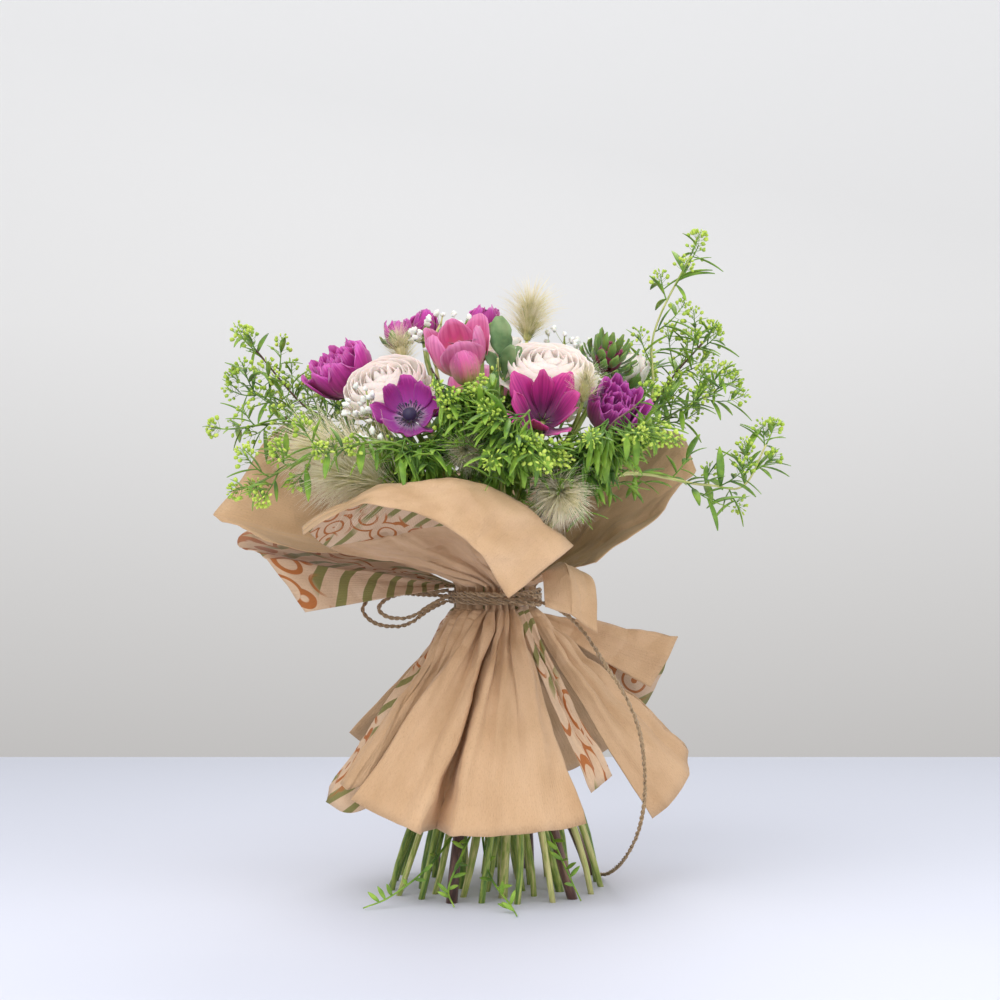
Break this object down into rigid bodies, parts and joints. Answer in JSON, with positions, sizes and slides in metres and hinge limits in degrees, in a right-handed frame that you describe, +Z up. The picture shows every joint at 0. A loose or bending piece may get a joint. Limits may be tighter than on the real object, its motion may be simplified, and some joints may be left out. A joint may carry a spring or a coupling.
{
  "type": "mixed flower bouquet",
  "caption": "Spiral-tied bouquet of ranunculus, tulips, anemone, grasses and green filler in a kraft paper collar and skirt bound with twine, standing on its cut stems.",
  "frame": {"origin": "on the surface that the cut stems stand on, at the middle of the plan outline, under the tie", "axes": "+Z up along the stems, +X to the viewer's right, -Y towards the front with the folded paper flap"},
  "size_m": [0.3802, 0.295, 0.4441],
  "materials": {
    "ranunculus_petals": "thin matt petals, pale blush to cream",
    "tulip_petals": "satin petals, magenta",
    "anemone_petals": "satin petals, purple with a pale ring",
    "small_bloom_petals": "satin petals, magenta to pale pink",
    "filler_leaves": "matt fresh green",
    "grass_plumes": "fine straw-coloured bristles",
    "gypsophila_florets": "matt white",
    "spoon_leaves": "matt grey-green",
    "kraft_paper": "matt kraft, creased, one side printed with leaves and lines",
    "jute_twine": "twisted jute"
  },
  "bodies": {
    "root": {"anemone_front": "anemone_petals", "bracted_bud_right": "small_bloom_petals", "double_tulip_back": "tulip_petals", "double_tulip_left": "tulip_petals", "double_tulip_right": "tulip_petals", "half_open_bloom_back_left": "small_bloom_petals", "half_open_bloom_left": "small_bloom_petals", "half_open_bloom_right": "small_bloom_petals", "half_open_bloom_top": "small_bloom_petals", "ranunculus_back": "ranunculus_petals", "ranunculus_cream": "ranunculus_petals", "ranunculus_left": "ranunculus_petals", "ranunculus_right": "ranunculus_petals", "tulip_back": "tulip_petals", "tulip_centre": "tulip_petals", "tulip_front": "tulip_petals", "filler_right_top": "filler_leaves", "filler_right_low": "filler_leaves", "filler_right": "filler_leaves", "filler_right_middle": "filler_leaves", "filler_left_top": "filler_leaves", "filler_left_middle": "filler_leaves", "filler_left_far": "filler_leaves", "filler_left_low": "filler_leaves", "filler_front_left": "filler_leaves", "filler_front_middle": "filler_leaves", "filler_front_right": "filler_leaves", "filler_front_low": "filler_leaves", "filler_back": "filler_leaves", "filler_back_left": "filler_leaves", "filler_back_right": "filler_leaves", "grass_plume_left": "grass_plumes", "grass_plume_low_left": "grass_plumes", "grass_plume_front": "grass_plumes", "grass_plume_front_right": "grass_plumes", "grass_plume_top": "grass_plumes", "grass_plume_back_left": "grass_plumes", "grass_plume_right": "grass_plumes", "gypsophila_left": "gypsophila_florets", "gypsophila_right": "gypsophila_florets", "gypsophila_top": "gypsophila_florets", "spoon_leaves": "spoon_leaves", "paper_front": "kraft_paper", "paper_right_small": "kraft_paper", "paper_right": "kraft_paper", "paper_back_right": "kraft_paper", "paper_back": "kraft_paper", "paper_left_under": "kraft_paper", "paper_left": "kraft_paper", "twine_turns": "jute_twine", "twine_loop_outer": "jute_twine", "twine_loop_inner": "jute_twine", "twine_tail": "jute_twine"}
  },
  "joints": []
}
